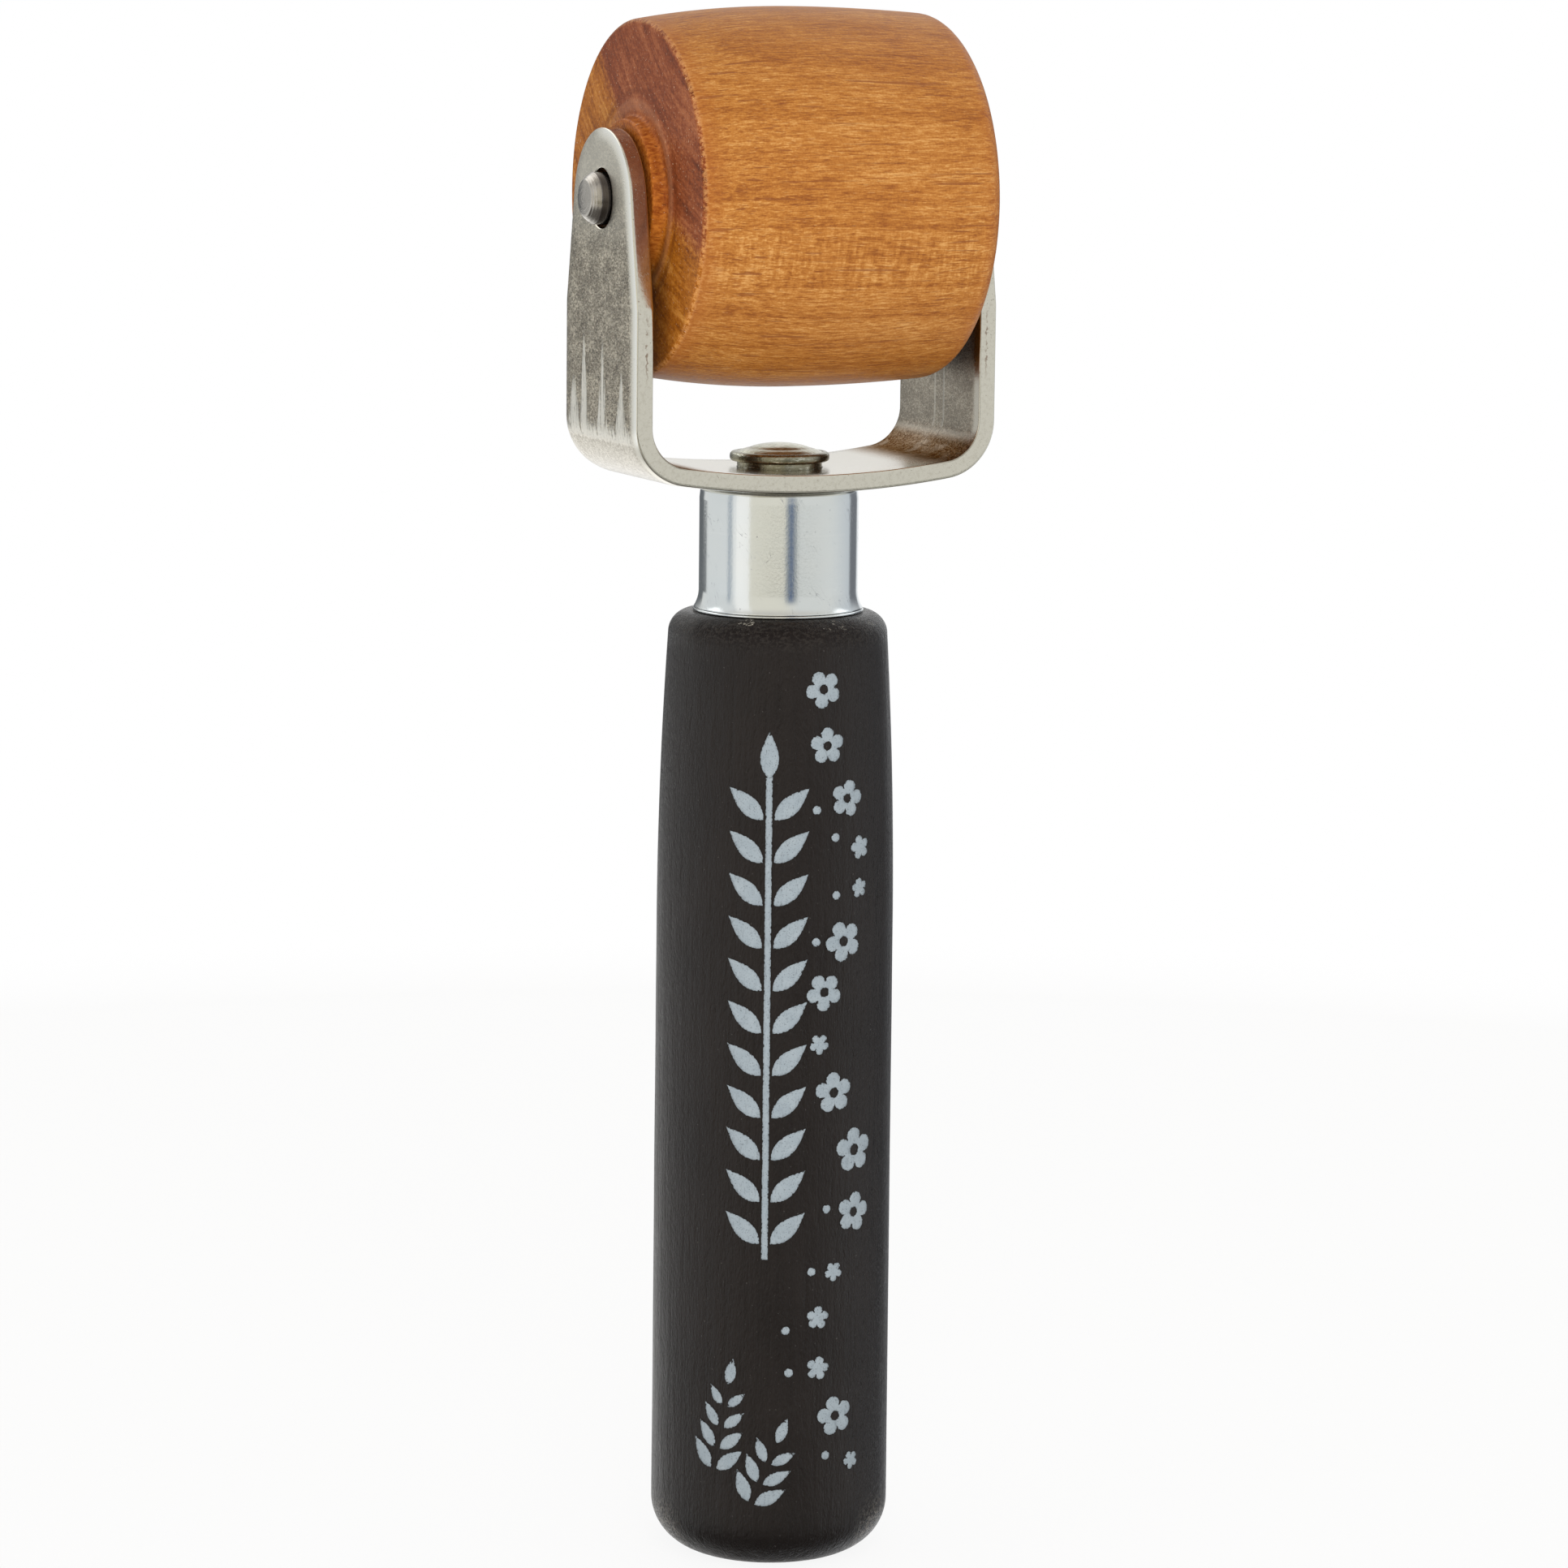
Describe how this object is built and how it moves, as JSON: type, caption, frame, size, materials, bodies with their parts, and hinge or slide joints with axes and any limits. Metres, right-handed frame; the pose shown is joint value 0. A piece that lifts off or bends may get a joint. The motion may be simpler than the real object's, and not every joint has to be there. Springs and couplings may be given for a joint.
{
  "type": "seam roller",
  "caption": "Hand seam roller: a crowned hardwood barrel spinning on a steel axle in a U-shaped steel yoke, riveted to a ferrule on a black-painted wooden handle.",
  "frame": {"origin": "centre of the handle's flat butt", "axes": "+Z along the handle's axis from the butt towards the barrel, +X along the axle, +Y completes a right-handed frame"},
  "size_m": [0.0398, 0.035, 0.1461],
  "materials": {
    "roller_wood": "smooth oiled cherry-coloured hardwood, grain along the axle, darker end grain",
    "axle_steel": "bright drawn steel pin with turned chamfers",
    "yoke_steel": "satin nickel plate, mottled on the legs, brighter on the sheared edges",
    "rivet_steel": "dull plated steel, worn bright round the head's rim",
    "washer_steel": "plain zinc plate",
    "ferrule_zinc": "bright zinc plate with fine handling scratches",
    "handle_paint": "satin black paint over turned wood, fine vertical grain, pale blue-grey printed ornament"
  },
  "bodies": {
    "handle_assembly": {"handle": "handle_paint", "ferrule": "ferrule_zinc", "rivet": "rivet_steel", "rivet_washer": "washer_steel", "yoke": "yoke_steel"},
    "roller_assembly": {"roller": "roller_wood", "axle": "axle_steel"}
  },
  "joints": [
    {"name": "roller_spin", "type": "hinge", "parent": "handle_assembly", "child": "roller_assembly", "pos_m": [0, 0, 0.12864], "axis": [1, 0, 0], "continuous": true}
  ]
}
